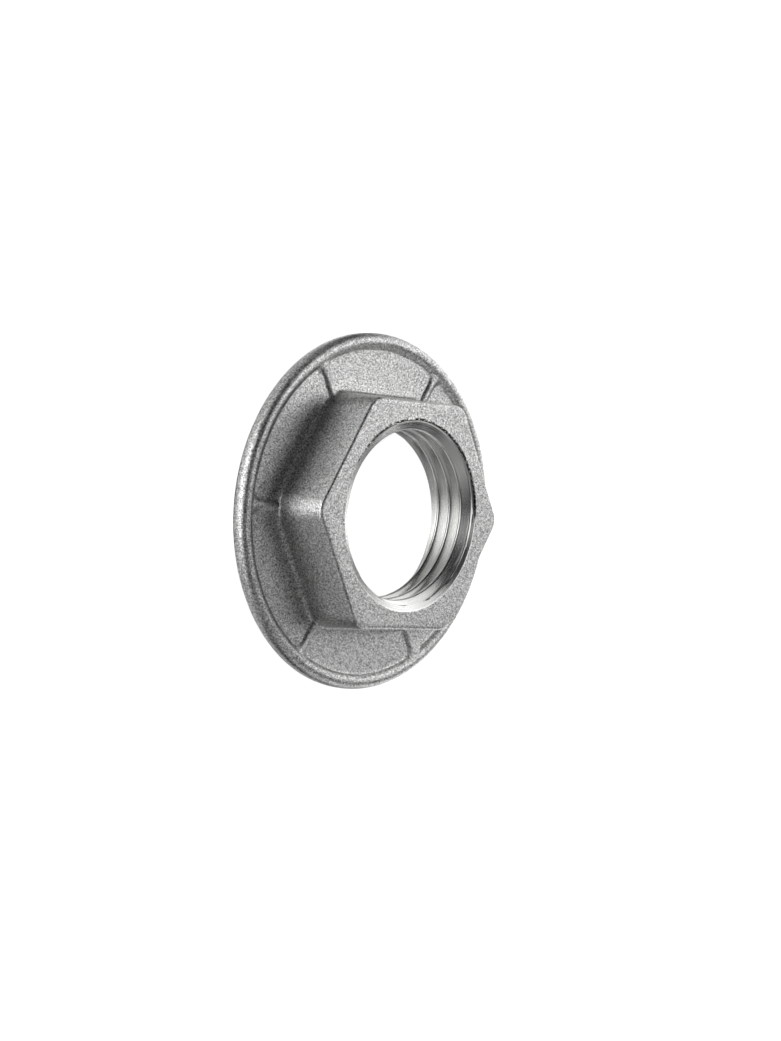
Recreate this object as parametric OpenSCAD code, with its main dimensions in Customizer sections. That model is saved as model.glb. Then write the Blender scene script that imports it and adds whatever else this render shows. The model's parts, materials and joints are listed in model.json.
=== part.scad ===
// Flanged lock nut: a hot-forged brass hexagon on a round ribbed flange, bored through for a
// G 3/8 pipe thread. It lies on the flange's back face, with the bore's axis along Z and a
// corner of the hexagon towards +X. All sizes are in millimetres.

/* [Hexagon] */
// Height of the nut, from the flange's back face to the front face
nut_h = 6.2; // [5.4:0.1:8]
// Width across the flats at the front face
across_flats = 20; // [19.6:0.1:20.6]
// Draft of each flat, in degrees, so that the forging leaves its die
hex_draft = 3.5; // [2:0.5:6]
// Radius of the six upright corners at the front face
hex_corner_r = 1.7; // [1.2:0.1:2.2]
// Radius to which the six corners widen down at the floor
hex_foot_corner_r = 3; // [2.4:0.1:3.6]
// Radius of the soft edge round the front face
hex_edge_r = 0.3; // [0.2:0.05:0.5]
// Radius of the hollow fillet between the hexagon and the flange
hex_fillet_r = 0.4; // [0.3:0.05:0.8]

/* [Flange] */
// Outer diameter of the flange
flange_d = 31.6; // [31:0.1:34]
// Thickness of the flange at its sunk floor
floor_h = 1.05; // [0.9:0.05:1.3]
// Radius of the round bead along the rim
bead_r = 0.7; // [0.5:0.02:0.74]
// Height of the bead above the floor
bead_rise = 0.42; // [0.36:0.02:0.5]
// Radius of the hollow fillet between the bead and the floor
bead_fillet_r = 0.3; // [0.25:0.05:0.6]
// Radius of the edge between the rim and the back face
back_edge_r = 0.35; // [0.2:0.05:0.45]

/* [Ribs] */
// Width of a rib at the floor
rib_w = 0.9; // [0.6:0.05:1.2]
// Height of a rib above the floor
rib_rise = 0.26; // [0.2:0.02:0.3]
// Radius of the flare where a rib runs into the bead
rib_flare_r = 0.8; // [0.4:0.1:1.2]
// Height of the flare above the floor
rib_flare_rise = 0.2; // [0.14:0.02:0.26]

/* [Thread bore] */
// Minor diameter of the thread, to which the bore is cut before tapping
bore_d = 14.95; // [14.6:0.05:15.2]
// Diameter of the countersink at the front face
mouth_d = 16.88; // [16.2:0.02:17.2]
// Included angle of the countersink at the front face
mouth_angle = 120; // [90:5:120]
// Depth of the recess for a sealing ring in the back face, where the thread ends
recess_h = 1.45; // [1.3:0.05:1.6]
// Wall left between that recess and the hexagon's flats
recess_wall = 0.8; // [0.7:0.05:1]

/* [Hidden] */
SIDES = 6;
side_angle = 360 / SIDES;
forged_grey = [0.66, 0.66, 0.65];
$fn = 96;

flange_r = flange_d / 2;
bead_top = floor_h + bead_rise;
bead_centre = [flange_r - bead_r, bead_top - bead_r];
// Where the bead's round and its hollow fillet touch
bead_fillet_z = floor_h + bead_fillet_r;
bead_reach = bead_r + bead_fillet_r;
bead_fillet_x = bead_centre.x - sqrt(pow(bead_reach, 2) - pow(bead_fillet_z - bead_centre.y, 2));
bead_touch = (bead_centre * bead_fillet_r + [bead_fillet_x, bead_fillet_z] * bead_r) / bead_reach;

// Distance from the bore's axis to the centre of a corner's round at the front face
corner_reach = (across_flats / 2 - hex_corner_r) / cos(side_angle / 2);
// The hollow fillet's toe runs this far under the floor, so that it dies into the flange
fillet_toe = 0.02;
fillet_centre_z = floor_h - fillet_toe + hex_fillet_r;
fillet_touch_z = fillet_centre_z - hex_fillet_r * sin(hex_draft);
fillet_centre = [flat_x(fillet_touch_z) + hex_fillet_r * cos(hex_draft), fillet_centre_z];
// How far the soft front edge starts from the sharp one
edge_setback = hex_edge_r / tan((90 + hex_draft) / 2);
edge_centre = [across_flats / 2 - edge_setback, nut_h - hex_edge_r];
// Straight stretches in a corner's round, in the fillet and in the soft edge
corner_steps = 8;
fillet_steps = 7;
edge_steps = 4;

// Round section of a rib that is rib_w wide where it stands rib_rise above the floor
rib_r = (pow(rib_w / 2, 2) + pow(rib_rise, 2)) / (2 * rib_rise);
bead_inner = bead_centre.x - sqrt(pow(bead_r, 2) - pow(bead_rise - bead_r, 2));
recess_d = 2 * (flat_x(floor_h) - recess_wall);
// A tool's cut runs this far past the face it starts from
overcut = 1;

// Distance from the bore's axis to a drafted flat at height z
function flat_x(z) = across_flats / 2 + (nut_h - z) * tan(hex_draft);

// Radius of the upright corners at height z
function corner_r(z) =
    hex_corner_r + (hex_foot_corner_r - hex_corner_r) * (nut_h - z) / (nut_h - floor_h);

// Half section of the flange: a flat slab, with a round bead on it along the rim
module flange_section() {
    square([flange_r - back_edge_r, floor_h]);
    translate([0, back_edge_r])
        square([flange_r, bead_centre.y - back_edge_r]);
    translate([flange_r - back_edge_r, back_edge_r])
        circle(back_edge_r);
    intersection() {
        translate(bead_centre)
            circle(bead_r);
        translate([0, back_edge_r])
            square([flange_r + bead_r, bead_top + bead_r]);
    }
    difference() {
        translate([bead_fillet_x, floor_h / 2])
            square([bead_centre.x - bead_fillet_x, bead_touch.y - floor_h / 2]);
        translate([bead_fillet_x, bead_fillet_z])
            circle(bead_fillet_r);
    }
}

// Points of a round stretch about a centre, between two angles
function arc(centre, r, from, to, steps) = [
    for (i = [0 : steps])
        let (angle = from + (to - from) * i / steps)
            centre + r * [cos(angle), sin(angle)]
];

// Outline of the hexagon at height z, with its sides at distance x from the bore's axis
function hexagon_ring(x, z) =
    let (
        r = corner_r(z) + x - flat_x(z),
        reach = (x - r) / cos(side_angle / 2)
    )
    [
        for (i = [0 : SIDES - 1])
            let (centre = reach * [cos(i * side_angle), sin(i * side_angle)])
                for (point = arc(centre, r, (i - 0.5) * side_angle, (i + 0.5) * side_angle, corner_steps))
                    [point.x, point.y, z]
    ];

// Solid through a stack of outlines that have as many points each, from the lowest up
module loft(rings) {
    points = len(rings[0]);
    top = len(rings) - 1;
    polyhedron(
        points = [for (ring = rings) each ring],
        faces = concat(
            [[for (j = [0 : points - 1]) j]],
            [[for (j = [points - 1 : -1 : 0]) top * points + j]],
            [
                for (i = [0 : top - 1], j = [0 : points - 1])
                    let (k = (j + 1) % points)
                        [i * points + j, (i + 1) * points + j, (i + 1) * points + k, i * points + k]
            ]
        )
    );
}

// The hexagon, lofted up the section of its side: hollow fillet, drafted wall and soft edge
module hexagon() {
    side = concat(
        [[fillet_centre.x, floor_h / 2]],
        arc(fillet_centre, hex_fillet_r, 270, 180 + hex_draft, fillet_steps),
        arc(edge_centre, hex_edge_r, hex_draft, 90, edge_steps)
    );
    loft([for (point = side) hexagon_ring(point.x, point.y)]);
}

// A low round rib from the hexagon's corner out to the bead, which it joins in a flare
module rib() {
    rotate([90, 0, 90])
        translate([0, 0, corner_reach])
            linear_extrude(bead_centre.x - corner_reach)
                intersection() {
                    translate([0, floor_h + rib_rise - rib_r])
                        circle(rib_r);
                    translate([-rib_r, floor_h / 2])
                        square([2 * rib_r, floor_h]);
                }
    translate([bead_inner - rib_flare_r, 0, floor_h / 2])
        linear_extrude(floor_h / 2 + rib_flare_rise)
            difference() {
                translate([0, -rib_w / 2 - rib_flare_r])
                    square([bead_centre.x - bead_inner + rib_flare_r, rib_w + 2 * rib_flare_r]);
                for (side = [-1, 1])
                    translate([0, side * (rib_w / 2 + rib_flare_r)])
                        circle(rib_flare_r);
            }
}

// A cone that opens a hole of diameter d to mouth at the plane z = 0, and on above it
module countersink(d, mouth, angle) {
    depth = (mouth - d) / 2 / tan(angle / 2);
    translate([0, 0, -depth])
        cylinder(h = depth + overcut, d1 = d, d2 = mouth + 2 * overcut * tan(angle / 2));
}

module thread_bore() {
    translate([0, 0, -overcut])
        cylinder(h = nut_h + 2 * overcut, d = bore_d);
    translate([0, 0, nut_h])
        countersink(bore_d, mouth_d, mouth_angle);
    translate([0, 0, -overcut])
        cylinder(h = overcut + recess_h, d = recess_d);
}

module lock_nut() {
    color(forged_grey)
        difference() {
            union() {
                rotate_extrude()
                    flange_section();
                hexagon();
                for (i = [0 : SIDES - 1])
                    rotate(i * side_angle)
                        rib();
            }
            thread_bore();
        }
}

lock_nut();
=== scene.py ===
import json
import math

import bpy
import numpy as np
from mathutils import Matrix, Vector


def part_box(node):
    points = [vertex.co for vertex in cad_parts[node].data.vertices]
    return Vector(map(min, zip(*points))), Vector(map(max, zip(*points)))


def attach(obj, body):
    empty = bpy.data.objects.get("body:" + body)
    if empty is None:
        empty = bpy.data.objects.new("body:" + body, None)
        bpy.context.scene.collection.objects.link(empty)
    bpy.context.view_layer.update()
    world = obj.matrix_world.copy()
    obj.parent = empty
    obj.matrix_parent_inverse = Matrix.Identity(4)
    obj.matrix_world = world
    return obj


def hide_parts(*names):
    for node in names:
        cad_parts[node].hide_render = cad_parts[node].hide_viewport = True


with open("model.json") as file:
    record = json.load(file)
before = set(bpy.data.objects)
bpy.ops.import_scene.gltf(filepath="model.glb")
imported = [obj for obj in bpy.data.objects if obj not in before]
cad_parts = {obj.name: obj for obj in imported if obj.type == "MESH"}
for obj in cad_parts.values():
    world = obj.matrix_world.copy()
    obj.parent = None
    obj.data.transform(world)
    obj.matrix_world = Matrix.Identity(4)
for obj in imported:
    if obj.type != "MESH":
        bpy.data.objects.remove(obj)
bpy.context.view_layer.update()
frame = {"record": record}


# Nut: one hot-forged piece of brass, a hexagon on a round flange whose rim is rolled up in a bead.
# It was shot-blasted and nickel-plated, and the bore was then countersunk on a lathe.
# Its skin is one closed sheet of rows, each of which runs once round the bore's axis.
MM = 0.001
low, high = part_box("lock_nut")
flange_r = (high.x - low.x) / 2
nut_h = high.z - low.z
thread_mount = next(m for m in frame["record"]["mounts"] if m["name"] == "thread")

across_flats = 20 * MM
hex_corner_r = 1.7 * MM
hex_foot_corner_r = 3 * MM
hex_draft = math.radians(3.5)
hex_edge_r = 0.3 * MM
hex_fillet_r = 0.4 * MM
floor_h = 1.05 * MM
bead_r = 0.7 * MM
bead_rise = 0.42 * MM
bead_fillet_r = 0.3 * MM
back_edge_r = 0.35 * MM
bore_r = thread_mount["dims"]["r_mm"] * MM
mouth_r = 8.44 * MM
mouth_angle = math.radians(120)
lip_w = 0.2 * MM
recess_h = 1.45 * MM
recess_wall = 0.8 * MM

SIDES = 6
sector = 2 * math.pi / SIDES

# Places round the axis, closer together at the corners, where the rounds and the ribs are
corner_zone = math.radians(8)
corner_steps = 54
flat_steps = 28
corner_places = np.linspace(-corner_zone, corner_zone, corner_steps, endpoint=False)
flat_places = np.linspace(corner_zone, sector - corner_zone, flat_steps, endpoint=False)
sector_places = np.concatenate([corner_places, flat_places])
around = np.concatenate([sector_places + i * sector for i in range(SIDES)])
from_corner = np.abs((around + sector / 2) % sector - sector / 2)


def flat_reach(z):
    """Distance from the axis to a drafted flat at height z."""
    return across_flats / 2 + (nut_h - z) * math.tan(hex_draft)


def hexagon_radius(reach, z):
    """Distance from the axis to the outline at height z, with its sides at that reach."""
    widened = (hex_foot_corner_r - hex_corner_r) * (nut_h - z) / (nut_h - floor_h)
    corner_r = hex_corner_r + widened + reach - flat_reach(z)
    corner_reach = (reach - corner_r) / math.cos(sector / 2)
    aside = corner_reach * np.sin(from_corner)
    ahead = corner_reach * np.cos(from_corner)
    on_round = ahead + np.sqrt(np.maximum(corner_r**2 - aside**2, 0))
    turned = np.arctan2(
        on_round * np.sin(from_corner), on_round * np.cos(from_corner) - corner_reach
    )
    on_flat = reach / np.cos(sector / 2 - from_corner)
    return np.where((turned <= sector / 2) & (corner_r > aside), on_round, on_flat)


def circle_radius(r):
    return np.full_like(around, r)


def arc(centre, r, start, end, steps):
    """Points of a round stretch of the section, between two angles in degrees."""
    for angle in np.radians(np.linspace(start, end, steps)):
        yield centre[0] + r * math.cos(angle), centre[1] + r * math.sin(angle)


rows = []
row_finish = []


def add_row(radius, height, finish):
    rows.append((radius, np.broadcast_to(height, around.shape)))
    row_finish.append(finish)


# Bore, from the floor of the back recess up: plain wall for the thread, then the countersink
bore_rows = 110
for z in np.linspace(recess_h, nut_h, bore_rows):
    countersunk_r = mouth_r - (nut_h - z) * math.tan(mouth_angle / 2)
    add_row(circle_radius(max(bore_r, countersunk_r)), z, "bore")

# Front face, from the mouth out to the soft edge, with close rows for the torn lip
edge_setback = hex_edge_r / math.tan((math.pi / 2 + hex_draft) / 2)
edge_centre = (across_flats / 2 - edge_setback, nut_h - hex_edge_r)
face_outline = hexagon_radius(edge_centre[0], nut_h)
face_rows = 6
add_row(circle_radius(mouth_r + lip_w / 2), nut_h, "skin")
add_row(circle_radius(mouth_r + lip_w), nut_h, "skin")
for i in range(1, face_rows):
    add_row(mouth_r + lip_w + (face_outline - mouth_r - lip_w) * i / face_rows, nut_h, "skin")

# Soft edge, drafted side and hollow fillet
draft_degrees = math.degrees(hex_draft)
edge_steps = 6
for reach, z in arc(edge_centre, hex_edge_r, 90, draft_degrees, edge_steps):
    add_row(hexagon_radius(reach, z), z, "skin")
fillet_centre_z = floor_h + hex_fillet_r
fillet_top_z = fillet_centre_z - hex_fillet_r * math.sin(hex_draft)
fillet_reach = flat_reach(fillet_top_z) + hex_fillet_r * math.cos(hex_draft)
edge_end_z = edge_centre[1] + hex_edge_r * math.sin(hex_draft)
side_rows = 9
for z in np.linspace(edge_end_z, fillet_top_z, side_rows + 1)[1:-1]:
    add_row(hexagon_radius(flat_reach(z), z), z, "skin")
fillet_centre = (fillet_reach, fillet_centre_z)
fillet_steps = 7
for reach, z in arc(fillet_centre, hex_fillet_r, 180 + draft_degrees, 270, fillet_steps):
    add_row(hexagon_radius(reach, z), z, "floor")

# Sunk floor, then the bead along the rim
bead_centre = (flange_r - bead_r, floor_h + bead_rise - bead_r)
bead_fillet_z = floor_h + bead_fillet_r
bead_reach = bead_r + bead_fillet_r
bead_fillet_up = bead_fillet_z - bead_centre[1]
bead_fillet_x = bead_centre[0] - math.sqrt(bead_reach**2 - bead_fillet_up**2)
bead_turn = math.degrees(math.atan2(bead_fillet_up, bead_centre[0] - bead_fillet_x))
floor_start = hexagon_radius(fillet_reach, floor_h)
floor_rows = 9
for i in range(1, floor_rows):
    add_row(floor_start + (bead_fillet_x - floor_start) * i / floor_rows, floor_h, "floor")
bead_fillet_steps = 6
bead_fillet_centre = (bead_fillet_x, bead_fillet_z)
for r, z in arc(bead_fillet_centre, bead_fillet_r, 270, 360 - bead_turn, bead_fillet_steps):
    add_row(circle_radius(r), z, "floor")
bead_steps = 16
for r, z in list(arc(bead_centre, bead_r, 180 - bead_turn, 0, bead_steps))[1:]:
    add_row(circle_radius(r), z, "floor" if r < bead_centre[0] else "skin")
back_edge_centre = (flange_r - back_edge_r, back_edge_r)
back_edge_steps = 6
for r, z in arc(back_edge_centre, back_edge_r, 0, -90, back_edge_steps):
    add_row(circle_radius(r), z, "skin")

# Back face, in to the recess for a sealing ring, and the recess's wall
recess_r = flat_reach(floor_h) - recess_wall
back_w = recess_r - back_edge_centre[0]
back_rows = 5
for i in range(1, back_rows):
    add_row(circle_radius(back_edge_centre[0] + back_w * i / back_rows), 0, "skin")
recess_rows = 4
for z in np.linspace(0, recess_h, recess_rows):
    add_row(circle_radius(recess_r), z, "bore")

radius = np.array([r for r, z in rows])
height = np.array([z for r, z in rows])
points = np.stack([radius * np.cos(around), radius * np.sin(around), height], axis=-1)
row_count, place_count = radius.shape
row, place = np.meshgrid(np.arange(row_count), np.arange(place_count), indexing="ij")
next_row = (row + 1) % row_count
next_place = (place + 1) % place_count
corners = [
    row * place_count + place,
    row * place_count + next_place,
    next_row * place_count + next_place,
    next_row * place_count + place,
]
faces = np.stack(corners, axis=-1).reshape(-1, 4)

blank = bpy.data.meshes.new("lock_nut_skin")
blank.from_pydata(points.reshape(-1, 3).tolist(), [], faces[:, ::-1].tolist())
finish_of_row = np.array(row_finish)
for name in ("bore", "floor"):
    share = np.repeat(finish_of_row == name, place_count)
    blank.attributes.new(name, "BOOLEAN", "POINT").data.foreach_set("value", share)
nut = bpy.data.objects.new("lock_nut_body", blank)
bpy.context.scene.collection.objects.link(nut)


# Forged skin: nickel over shot-blasted brass, matt and grainy from the shot.
# Each speck of the grain has a tone and a small dent of its own, and wider dents lie under them.
def add_node(tree, kind, *values, **settings):
    """A node with those settings, whose first inputs take the values or are linked to them."""
    node = tree.nodes.new(kind)
    for name, value in settings.items():
        setattr(node, name, value)
    for socket, value in zip(node.inputs, values):
        if isinstance(value, bpy.types.NodeSocket):
            tree.links.new(value, socket)
        elif value is not None:
            socket.default_value = value
    return node


def new_metal(name, roughness):
    metal = bpy.data.materials.new(name)
    metal.use_nodes = True
    shader = metal.node_tree.nodes["Principled BSDF"]
    shader.inputs["Metallic"].default_value = 1
    shader.inputs["Roughness"].default_value = roughness
    return metal, metal.node_tree, shader


specks_per_metre = 14000
dents_per_metre = 1900
dark_speck = (0.11, 0.11, 0.11, 1)
bright_speck = (1, 1, 0.99, 1)
forged, tree, shader = new_metal("shot_blasted_nickel", 0.3)
place_socket = add_node(tree, "ShaderNodeTexCoord").outputs["Object"]
grain = add_node(tree, "ShaderNodeTexVoronoi", place_socket)
grain.inputs["Scale"].default_value = specks_per_metre
shade = add_node(tree, "ShaderNodeSeparateColor", grain.outputs["Color"])
dents = add_node(tree, "ShaderNodeTexNoise", place_socket)
dents.inputs["Scale"].default_value = dents_per_metre
dents.inputs["Detail"].default_value = 2
tone = add_node(tree, "ShaderNodeValToRGB", shade.outputs["Red"])
tone.color_ramp.elements[0].color = dark_speck
tone.color_ramp.elements[1].color = bright_speck
tree.links.new(tone.outputs["Color"], shader.inputs["Base Color"])
coarse_bump = add_node(tree, "ShaderNodeBump")
coarse_bump.inputs["Strength"].default_value = 0.35
coarse_bump.inputs["Distance"].default_value = 0.03 * MM
tree.links.new(dents.outputs["Fac"], coarse_bump.inputs["Height"])
fine_bump = add_node(tree, "ShaderNodeBump")
fine_bump.inputs["Strength"].default_value = 1.0
fine_bump.inputs["Distance"].default_value = 0.02 * MM
tree.links.new(grain.outputs["Distance"], fine_bump.inputs["Height"])
tree.links.new(coarse_bump.outputs["Normal"], fine_bump.inputs["Normal"])
tree.links.new(fine_bump.outputs["Normal"], shader.inputs["Normal"])


# Ribs: six low half-round ribs that run out from the hexagon's corners over the sunk floor.
# They were forged with the flange, and each flares where it joins the bead.
def new_tree(name, sizes):
    """A node group for geometry, with a named input for each size."""
    group = bpy.data.node_groups.new(name, "GeometryNodeTree")
    group.interface.new_socket("Geometry", in_out="INPUT", socket_type="NodeSocketGeometry")
    group.interface.new_socket("Geometry", in_out="OUTPUT", socket_type="NodeSocketGeometry")
    for size in sizes:
        group.interface.new_socket(size, in_out="INPUT", socket_type="NodeSocketFloat")
    given = group.nodes.new("NodeGroupInput").outputs
    result = group.nodes.new("NodeGroupOutput").inputs
    return group, given, result


def work_out(tree, operation, *values):
    return add_node(tree, "ShaderNodeMath", *values, operation=operation).outputs[0]


def marked(group, name):
    mark = add_node(group, "GeometryNodeInputNamedAttribute", name, data_type="BOOLEAN")
    return mark.outputs["Attribute"]


def reach_from_axis(tree, x, y):
    squares = [work_out(tree, "MULTIPLY", side, side) for side in (x, y)]
    return work_out(tree, "SQRT", work_out(tree, "ADD", *squares))


def round_the_axis(group):
    """Each point's coordinates, with its distance from the axis and its angle about it."""
    position = add_node(group, "GeometryNodeInputPosition").outputs[0]
    x, y, z = add_node(group, "ShaderNodeSeparateXYZ", position).outputs
    return x, y, z, reach_from_axis(group, x, y), work_out(group, "ARCTAN2", y, x)


rib_sizes = {
    "Sector": sector,
    "Rib width": 0.9 * MM,
    "Rib rise": 0.26 * MM,
    "Floor height": floor_h,
    "Flare radius": 0.8 * MM,
    "Flare spread": 0.6,
    "Bead inner radius": 14.35 * MM,
    "Foot blend": 0.12 * MM,
}
group, given, result = new_tree("forged_ribs", rib_sizes)
x, y, z, from_axis, angle = round_the_axis(group)
half_sector = work_out(group, "MULTIPLY", given["Sector"], 0.5)
back_half_sector = work_out(group, "MULTIPLY", half_sector, -1)
to_rib = work_out(group, "WRAP", angle, half_sector, back_half_sector)
aside = work_out(group, "MULTIPLY", from_axis, work_out(group, "SINE", to_rib))
flare_start = work_out(group, "SUBTRACT", given["Bead inner radius"], given["Flare radius"])
past_flare_start = work_out(group, "SUBTRACT", from_axis, flare_start)
flare_share = work_out(group, "DIVIDE", past_flare_start, given["Flare radius"])
flare = work_out(group, "POWER", work_out(group, "MAXIMUM", flare_share, 0), 2)
full_flare = work_out(group, "MULTIPLY", given["Flare radius"], given["Flare spread"])
flare_width = work_out(group, "MULTIPLY", flare, full_flare)
half_rib = work_out(group, "MULTIPLY", given["Rib width"], 0.5)
half_width = work_out(group, "ADD", half_rib, flare_width)
across = work_out(group, "ABSOLUTE", work_out(group, "DIVIDE", aside, half_width))
rib_share = work_out(group, "SUBTRACT", 1, work_out(group, "POWER", across, 2))
rib_height = work_out(group, "MULTIPLY", given["Rib rise"], rib_share)
rib_top = work_out(group, "ADD", given["Floor height"], rib_height)
raised = work_out(group, "SMOOTH_MAX", z, rib_top, given["Foot blend"])
rib_place = add_node(group, "ShaderNodeCombineXYZ", x, y, raised).outputs[0]
on_floor = marked(group, "floor")
shaped = add_node(group, "GeometryNodeSetPosition", given["Geometry"], on_floor, rib_place)
realized = add_node(group, "GeometryNodeRealizeInstances", shaped.outputs[0])
skinned = add_node(group, "GeometryNodeSetMaterial", realized.outputs[0])
skinned.inputs["Material"].default_value = forged
group.links.new(skinned.outputs[0], result["Geometry"])


def shape_with(piece, group, sizes):
    """Runs the node group on the piece with those sizes, and keeps the result as a plain mesh."""
    modifier = piece.modifiers.new(group.name, "NODES")
    modifier.node_group = group
    for socket in group.interface.items_tree:
        if socket.name in sizes:
            modifier[socket.identifier] = sizes[socket.name]
    evaluated = piece.evaluated_get(bpy.context.evaluated_depsgraph_get())
    mesh = bpy.data.meshes.new_from_object(evaluated)
    piece.modifiers.clear()
    piece.data = mesh


shape_with(nut, group, rib_sizes)


# Thread: a right-handed 55-degree pipe thread of 1.337 mm pitch, tapped through the plain bore.
# Its cut metal is bright and smooth, with fine turning marks round the bore.
turned, tree, shader = new_metal("turned_metal", 0.25)
shader.inputs["Base Color"].default_value = (0.7, 0.7, 0.69, 1)
place_socket = add_node(tree, "ShaderNodeTexCoord").outputs["Object"]
x, y, z = add_node(tree, "ShaderNodeSeparateXYZ", place_socket).outputs
marks_place = add_node(tree, "ShaderNodeCombineXYZ", reach_from_axis(tree, x, y), z)
marks_per_metre = 9000
marks = add_node(tree, "ShaderNodeTexNoise", marks_place.outputs[0])
marks.inputs["Scale"].default_value = marks_per_metre
marks.inputs["Detail"].default_value = 2
marks_bump = add_node(tree, "ShaderNodeBump")
marks_bump.inputs["Strength"].default_value = 0.9
marks_bump.inputs["Distance"].default_value = 0.012 * MM
tree.links.new(marks.outputs["Fac"], marks_bump.inputs["Height"])
tree.links.new(marks_bump.outputs["Normal"], shader.inputs["Normal"])

# The photograph's right lies this far round the bore's axis from a corner of the hexagon
photo_turn = math.radians(6.336)
crest_below_front = 1.014 * MM
thread_sizes = {
    "Pitch": 1.337 * MM,
    "Minor radius": bore_r,
    "Major radius": 8.331 * MM,
    "Crest height": nut_h - crest_below_front,
    "Crest angle": photo_turn,
    "Round": 0.15 * MM,
}
# The flats at a crest and at a root take this share of half a pitch
flat_share = 1 / 6
group, given, result = new_tree("pipe_thread", thread_sizes)
x, y, z, from_axis, angle = round_the_axis(group)
from_crest_angle = work_out(group, "SUBTRACT", angle, given["Crest angle"])
turns = work_out(group, "DIVIDE", from_crest_angle, 2 * math.pi)
over_crest = work_out(group, "SUBTRACT", z, given["Crest height"])
climb = work_out(group, "DIVIDE", over_crest, given["Pitch"])
phase = work_out(group, "FRACT", work_out(group, "SUBTRACT", climb, turns))
from_root = work_out(group, "ABSOLUTE", work_out(group, "MULTIPLY_ADD", phase, 2, -1))
flank = add_node(
    group, "ShaderNodeMapRange", from_root, flat_share, 1 - flat_share, clamp=False
)
group.links.new(given["Major radius"], flank.inputs["To Min"])
group.links.new(given["Minor radius"], flank.inputs["To Max"])
root = work_out(group, "SMOOTH_MIN", flank.outputs[0], given["Major radius"], given["Round"])
crest = work_out(group, "SMOOTH_MAX", root, given["Minor radius"], given["Round"])
cut_radius = work_out(group, "MAXIMUM", from_axis, crest)
outward = work_out(group, "DIVIDE", cut_radius, from_axis)
cut_x = work_out(group, "MULTIPLY", x, outward)
cut_y = work_out(group, "MULTIPLY", y, outward)
cut_place = add_node(group, "ShaderNodeCombineXYZ", cut_x, cut_y, z).outputs[0]
in_bore = marked(group, "bore")
shaped = add_node(group, "GeometryNodeSetPosition", given["Geometry"], in_bore, cut_place)
realized = add_node(group, "GeometryNodeRealizeInstances", shaped.outputs[0])
bright = add_node(group, "GeometryNodeSetMaterial", realized.outputs[0], in_bore)
bright.inputs["Material"].default_value = turned
group.links.new(bright.outputs[0], result["Geometry"])
shape_with(nut, group, thread_sizes)


# Lip burr: a ragged burr that the countersink left on the mouth's edge, over nearly half its length.
# Its tips stand up a little. Black specks of painted shade lie along it, and over its middle stretch
# there are also white specks of painted highlight.
lip_inset = 0.02 * MM
lip_sizes = {
    "Lip radius": mouth_r - lip_inset,
    "Lip width": lip_w,
    "Lip height": nut_h,
    "Lip rise": 0.07 * MM,
    "Lip depth": 0.14 * MM,
    "Middle angle": photo_turn + math.radians(71),
    "Half length": math.radians(79),
    "Highlight middle": photo_turn + math.radians(80),
    "Highlight half": math.radians(34),
}
group, given, result = new_tree("lip_burr_and_painted_light", lip_sizes)
x, y, z, from_axis, angle = round_the_axis(group)
from_edge = work_out(group, "SUBTRACT", from_axis, given["Lip radius"])
beside = work_out(group, "DIVIDE", work_out(group, "ABSOLUTE", from_edge), given["Lip width"])
near = work_out(group, "SUBTRACT", 1, beside)
under_face = work_out(group, "SUBTRACT", given["Lip height"], z)
below = work_out(group, "DIVIDE", under_face, given["Lip depth"])
at_top = work_out(group, "SUBTRACT", 1, below)
end_fade = 8


def along_lip(middle, half_length):
    """One on a stretch of the lip, down to nought at its two ends and past them."""
    from_middle = work_out(group, "SUBTRACT", angle, middle)
    away = work_out(group, "WRAP", from_middle, math.pi, -math.pi)
    inside = work_out(group, "SUBTRACT", half_length, work_out(group, "ABSOLUTE", away))
    faded = work_out(group, "MULTIPLY", inside, end_fade)
    return add_node(group, "ShaderNodeClamp", faded).outputs[0]


on_edge = work_out(group, "MAXIMUM", work_out(group, "MINIMUM", near, at_top), 0)
# The stretch of the lip that rises in tips and is painted with black specks of shade
burr_and_shade_stretch = along_lip(given["Middle angle"], given["Half length"])
burr_and_painted_shade = work_out(group, "MULTIPLY", on_edge, burr_and_shade_stretch)
# The middle stretch, where white specks of painted highlight go as well
highlight_stretch = along_lip(given["Highlight middle"], given["Highlight half"])
painted_highlight_share = work_out(group, "MULTIPLY", burr_and_painted_shade, highlight_stretch)
tips_per_metre = 5000
ragged = add_node(group, "ShaderNodeTexNoise")
ragged.inputs["Scale"].default_value = tips_per_metre
tip_rise = work_out(group, "MULTIPLY", ragged.outputs["Fac"], given["Lip rise"])
tips = work_out(group, "MULTIPLY", burr_and_painted_shade, tip_rise)
lift = add_node(group, "ShaderNodeCombineXYZ", 0, 0, tips).outputs[0]
lipped = add_node(group, "GeometryNodeSetPosition", given["Geometry"])
group.links.new(lift, lipped.inputs["Offset"])
# The two marks carry where the painted shade and the painted highlight go
for mark, share in (("burr_and_painted_shade", burr_and_painted_shade), ("painted_highlight", painted_highlight_share)):
    lipped = add_node(
        group, "GeometryNodeStoreNamedAttribute", lipped.outputs[0], None, mark, share
    )
realized = add_node(group, "GeometryNodeRealizeInstances", lipped.outputs[0])
in_bore = marked(group, "bore")
bright = add_node(group, "GeometryNodeSetMaterial", realized.outputs[0], in_bore)
bright.inputs["Material"].default_value = turned
group.links.new(bright.outputs[0], result["Geometry"])
shape_with(nut, group, lip_sizes)

# Painted shade and painted highlight on the burr: black specks for shade and white specks for glints,
# mixed into the colour of both metals
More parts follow.
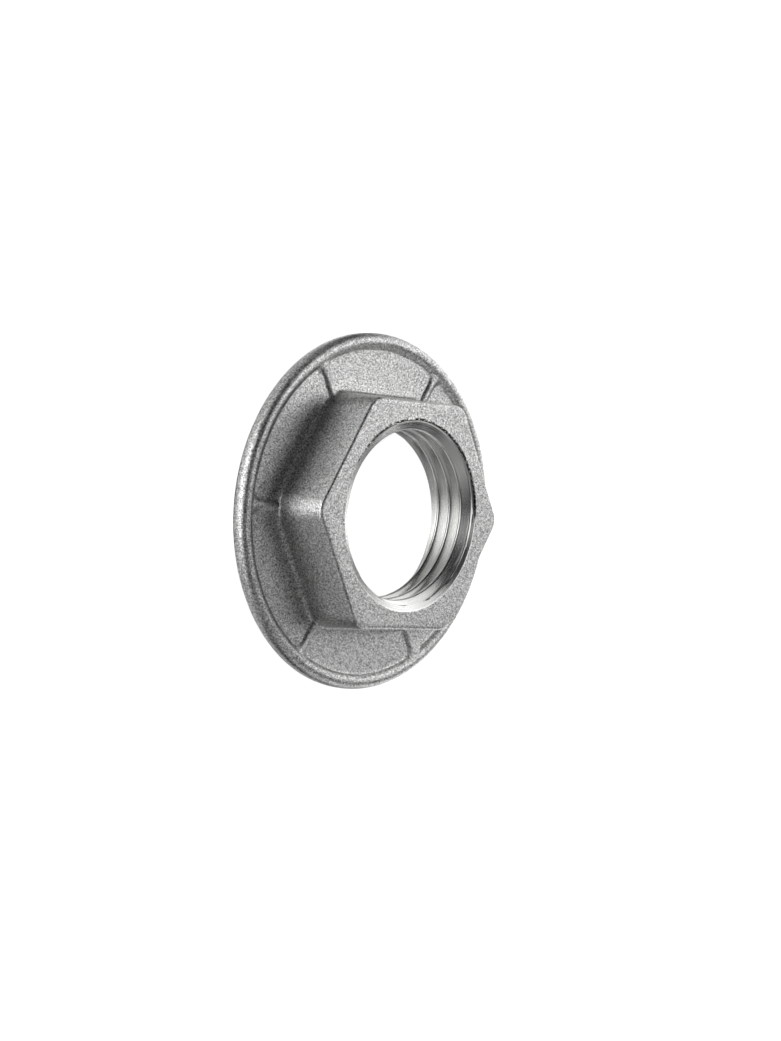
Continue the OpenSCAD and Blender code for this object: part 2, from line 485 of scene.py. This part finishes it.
painted_specks_per_metre = 5500
highlight_speck_range = (0.54, 0.6)
mark_range = (0.25, 0.5)
painted_shade_black = (0.02, 0.02, 0.02, 1)
painted_highlight_white = (1, 1, 1, 1)
for metal in (forged, turned):
    tree = metal.node_tree
    bare = tree.nodes["Principled BSDF"].inputs["Base Color"]
    place_socket = add_node(tree, "ShaderNodeTexCoord").outputs["Object"]
    speck_noise = add_node(tree, "ShaderNodeTexNoise", place_socket)
    speck_noise.inputs["Scale"].default_value = painted_specks_per_metre
    speck_noise.inputs["Detail"].default_value = 1
    highlight_speck_share = add_node(tree, "ShaderNodeMapRange", speck_noise.outputs["Fac"], *highlight_speck_range).outputs[0]
    shade_speck_share = work_out(tree, "SUBTRACT", 1, highlight_speck_share)
    for mark, share, colour in (("burr_and_painted_shade", shade_speck_share, painted_shade_black), ("painted_highlight", highlight_speck_share, painted_highlight_white)):
        mark_share = add_node(tree, "ShaderNodeAttribute", attribute_name=mark).outputs["Fac"]
        edge = add_node(tree, "ShaderNodeMapRange", mark_share, *mark_range).outputs[0]
        paint = add_node(tree, "ShaderNodeMix", data_type="RGBA")
        paint_in = {socket.identifier: socket for socket in paint.inputs}
        paint_out = {socket.identifier: socket for socket in paint.outputs}
        tree.links.new(work_out(tree, "MULTIPLY", edge, share), paint_in["Factor_Float"])
        paint_in["A_Color"].default_value = bare.default_value
        if bare.is_linked:
            tree.links.new(bare.links[0].from_socket, paint_in["A_Color"])
        paint_in["B_Color"].default_value = colour
        tree.links.new(paint_out["Result_Color"], bare)

# The nut is now whole: its rounds are shaded smooth, and its creases stay sharp
crease = math.radians(32)
nut.data.shade_smooth()
nut.data.set_sharp_from_angle(angle=crease)
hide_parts("lock_nut")
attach(nut, "root")


# Floor: a plain pale table, matt, and lit from within so that the shadows on it stay faint.
# The nut's metal doesn't mirror it, and lamps under it shine through.
table_half = 1.5
table_gap = 0.02 * MM
table_corners = [
    (-table_half, -table_half, 0),
    (table_half, -table_half, 0),
    (table_half, table_half, 0),
    (-table_half, table_half, 0),
]
table_mesh = bpy.data.meshes.new("table")
table_mesh.from_pydata(table_corners, [], [(0, 1, 2, 3)])
table = bpy.data.objects.new("table", table_mesh)
bpy.context.scene.collection.objects.link(table)
table.location.z = low.z - table_gap
pale = bpy.data.materials.new("pale_table")
pale.use_nodes = True
shader = pale.node_tree.nodes["Principled BSDF"]
shader.inputs["Base Color"].default_value = (0.8, 0.8, 0.8, 1)
shader.inputs["Roughness"].default_value = 0.9
shader.inputs["Emission Color"].default_value = (1, 1, 1, 1)
shader.inputs["Emission Strength"].default_value = 0.85
table_mesh.materials.append(pale)
table.visible_glossy = False
table.visible_shadow = False


# Studio light: square soft boxes all round the nut at one distance, in a dark room.
# Each is placed by its turn from the photograph's right and its rise over the table, in degrees.
# Those with a negative rise light the nut through the table, as a lit table would.
world = bpy.data.worlds.new("studio")
bpy.context.scene.world = world
world.use_nodes = True
world.node_tree.nodes["Background"].inputs["Color"].default_value = (0.02, 0.02, 0.02, 1)
lamp_distance = 0.3


def soft_box(name, turn, rise, brightness, width=0.2):
    """A square lamp that faces the nut."""
    lamp = bpy.data.lights.new(name, "AREA")
    lamp.size = width
    lamp.energy = brightness * math.pi * width**2
    holder = bpy.data.objects.new(name, lamp)
    bpy.context.scene.collection.objects.link(holder)
    turn = math.radians(turn) + photo_turn
    rise = math.radians(rise)
    level = math.cos(rise)
    aim = Vector((math.cos(turn) * level, math.sin(turn) * level, math.sin(rise)))
    holder.location = aim * lamp_distance
    holder.rotation_mode = "QUATERNION"
    holder.rotation_quaternion = aim.to_track_quat("Z", "Y")
    holder.visible_camera = False


soft_box("key_box", 9, 29, 0.8)
soft_box("upper_right_box", 29, 41, 1.2)
soft_box("overhead_box", -4, 66, 2.8, width=0.1)
soft_box("bore_box", 154, 81, 0.55, width=0.08)
soft_box("lower_front_box", -89, 68, 0.2, width=0.1)
soft_box("lower_box", -92, 40, 0.28, width=0.3)
soft_box("right_side_box", 21, 11, 0.5)
soft_box("lower_side_box", -64, 13, 0.4)
soft_box("left_box", 171, -4, 2.9)
soft_box("left_low_box", -173, -35, 1, width=0.12)
soft_box("left_front_box", 178, 42, 0.12)
soft_box("left_under_box", 160, -20, 0.85)
soft_box("upper_left_box", 151, -19, 1.2)
soft_box("upper_corner_box", 118, -17, 0.8)
soft_box("upper_box", 86, -2, 0.45)
soft_box("lower_left_box", -157, -11, 0.45)
soft_box("lower_corner_box", -137, -8, 0.65)
soft_box("back_right_box", -19, -10, 1.5)
soft_box("back_upper_box", 13, -16, 1.65)
soft_box("back_lower_box", -52, -3, 0.8)
soft_box("upper_under_box", 91, -52, 0.3)
soft_box("back_under_box", 38, -59, 1.2)
soft_box("right_under_box", -47, -54, 0.7)
soft_box("lower_under_box", -99, -61, 0.8)


# Camera: it looks down on the lying nut, at the photograph's viewing angle from its front face.
# Its picture is rolled, so that the nut seems to stand on its rim as in the photograph.
photo_h = 1041
camera_turn = math.radians(47.498)
camera_tilt = math.radians(5.4696)
camera_roll = math.radians(0.32524)
camera_distance = 230.6 * MM
focal_px = 2641.8
aim_right_px = 21.319
aim_down_px = -4.817
camera = bpy.data.objects.new("camera", bpy.data.cameras.new("camera"))
bpy.context.scene.collection.objects.link(camera)
turned_left = Matrix.Rotation(photo_turn, 3, "Z") @ Matrix.Rotation(-camera_turn, 3, "Y")
tilted = turned_left @ Matrix.Rotation(-camera_tilt, 3, "X")
facing = tilted @ Matrix.Rotation(camera_roll, 3, "Z")
stand = Vector((0, 0, nut_h)) + facing @ Vector((0, 0, camera_distance))
camera.matrix_world = Matrix.Translation(stand) @ facing.to_4x4()
camera.data.sensor_width = 36
camera.data.lens = focal_px * camera.data.sensor_width / photo_h
camera.data.shift_x = -aim_right_px / photo_h
camera.data.shift_y = aim_down_px / photo_h
camera.data.clip_start = 10 * MM
bpy.context.scene.camera = camera
bpy.context.scene.view_settings.view_transform = "Standard"
